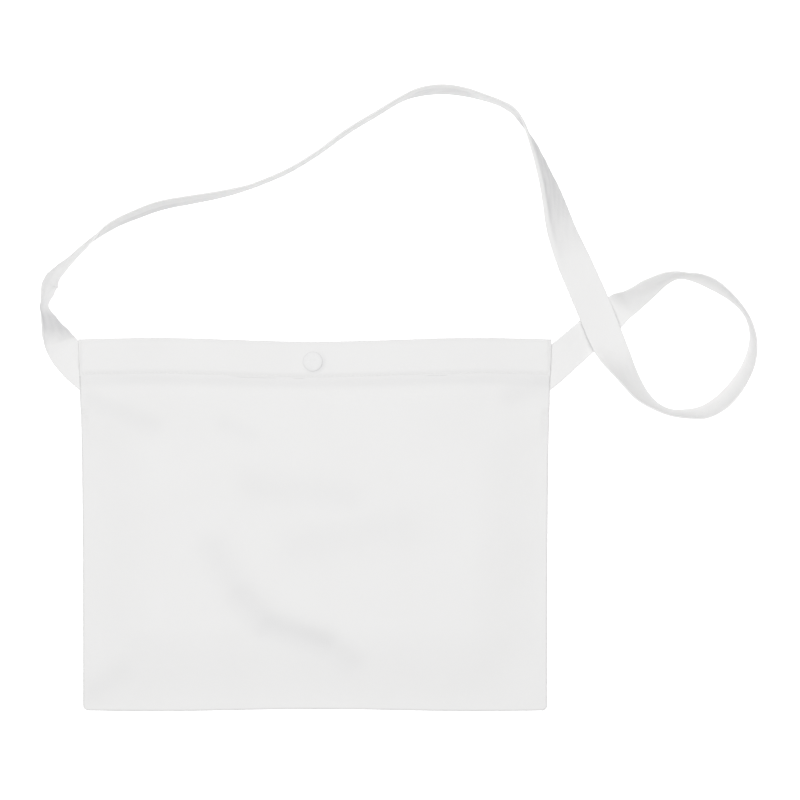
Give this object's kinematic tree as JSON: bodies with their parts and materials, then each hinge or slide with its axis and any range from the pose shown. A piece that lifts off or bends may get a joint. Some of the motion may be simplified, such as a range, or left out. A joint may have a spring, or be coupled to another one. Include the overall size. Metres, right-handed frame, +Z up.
{
  "type": "cycling musette bag",
  "caption": "Flat cotton shoulder pouch with hemmed mouth and press snap, lying on its back, its long tape strap laid out above it in one loop that crosses over itself.",
  "frame": {"origin": "middle of the pouch's underside, on the surface that it lies on", "axes": "+X across the pouch to the right as seen from above, +Y from its foot to its mouth, +Z up out of its front"},
  "size_m": [0.5383, 0.4709, 0.0251],
  "materials": {
    "cotton": "plain woven white cotton, matt",
    "tape": "flat woven white cotton tape, matt",
    "enamel": "white enamel, soft gloss",
    "snap_plastic": "white moulded plastic, satin"
  },
  "bodies": {
    "root": {"back_panel": "cotton", "front_panel": "cotton", "back_hem": "cotton", "front_hem": "cotton", "strap": "tape", "snap_cap": "enamel", "snap_socket": "snap_plastic", "snap_stud": "snap_plastic", "snap_post": "snap_plastic"}
  },
  "joints": []
}
